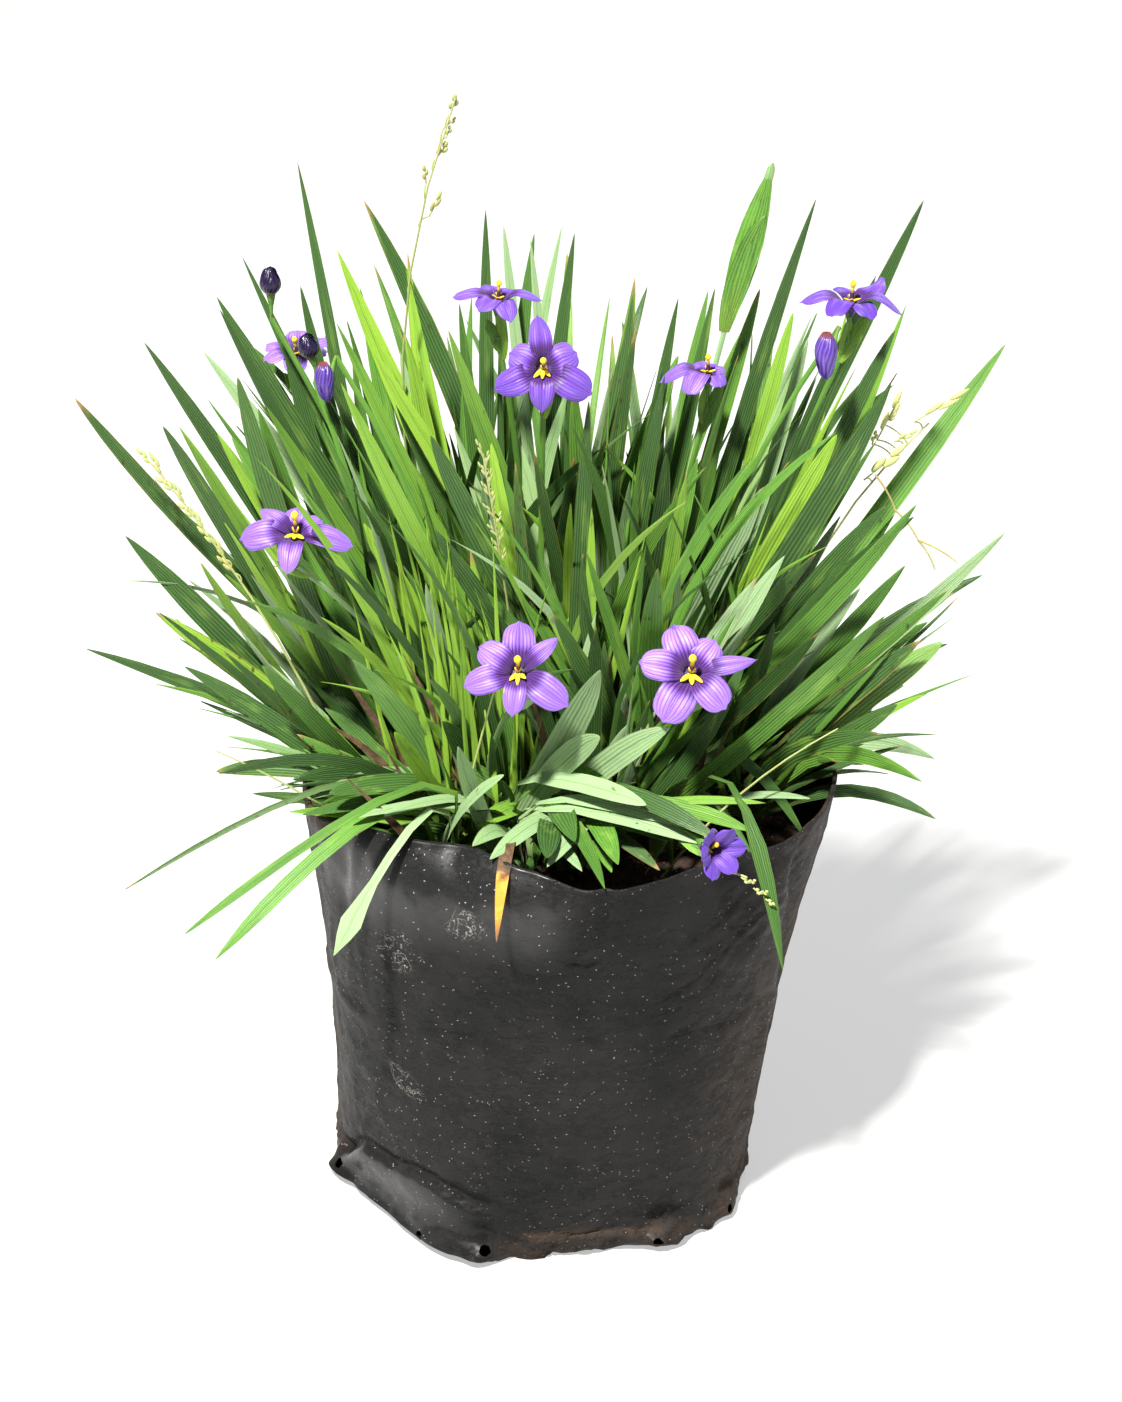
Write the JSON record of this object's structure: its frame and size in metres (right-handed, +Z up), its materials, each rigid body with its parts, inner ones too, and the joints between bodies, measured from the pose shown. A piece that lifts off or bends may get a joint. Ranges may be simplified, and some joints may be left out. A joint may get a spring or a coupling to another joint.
{
  "type": "potted blue-eyed grass",
  "caption": "Clump of flat iris-like leaves with violet star-shaped flowers, buds and grass heads, in a black film grow bag full of soil.",
  "frame": {"origin": "on the ground, at the flat base of the grow bag, below the middle of the plant", "axes": "+Z up, -Y towards the viewer of the picture (the front), +X to that viewer's right"},
  "size_m": [0.2745, 0.2249, 0.3368],
  "materials": {
    "film": "black polythene film, half glossy, dusty, creased",
    "soil": "dark moist potting mix with reddish brown crumbs",
    "leaf": "bluish to yellowish green, fine parallel veins, satin",
    "tepal": "violet with deeper veins and throat, soft sheen",
    "eye": "yellow to orange, matte",
    "bud": "nearly black violet, satin",
    "grass": "pale straw green, matte",
    "dead_leaf": "dry brown to orange, matte"
  },
  "bodies": {
    "root": {"bag": "film", "soil": "soil", "leaf_fan_01": "leaf", "leaf_fan_02": "leaf", "leaf_fan_03": "leaf", "leaf_fan_04": "leaf", "leaf_fan_05": "leaf", "leaf_fan_06": "leaf", "leaf_fan_07": "leaf", "leaf_fan_08": "leaf", "leaf_fan_09": "leaf", "leaf_fan_10": "leaf", "leaf_fan_11": "leaf", "leaf_fan_12": "leaf", "leaf_fan_13": "leaf", "leaf_fan_14": "leaf", "leaf_fan_15": "leaf", "leaf_fan_16": "leaf", "leaf_fan_17": "leaf", "leaf_fan_18": "leaf", "leaf_fan_19": "leaf", "leaf_fan_20": "leaf", "leaf_fan_21": "leaf", "leaf_fan_22": "leaf", "leaf_fan_23": "leaf", "leaf_fan_24": "leaf", "leaf_fan_25": "leaf", "leaf_fan_26": "leaf", "leaf_fan_27": "leaf", "leaf_fan_28": "leaf", "leaf_fan_29": "leaf", "leaf_fan_30": "leaf", "petals_01": "tepal", "petals_02": "tepal", "petals_03": "tepal", "petals_04": "tepal", "petals_05": "tepal", "petals_06": "tepal", "petals_07": "tepal", "petals_08": "tepal", "petals_09": "tepal", "eye_01": "eye", "eye_02": "eye", "eye_03": "eye", "eye_04": "eye", "eye_05": "eye", "eye_06": "eye", "eye_07": "eye", "eye_08": "eye", "eye_09": "eye", "bud_01": "bud", "bud_02": "bud", "bud_03": "bud", "bud_04": "bud", "grass_head_1": "grass", "grass_head_2": "grass", "grass_head_3": "grass", "grass_head_4": "grass", "dead_leaf": "dead_leaf"}
  },
  "joints": []
}
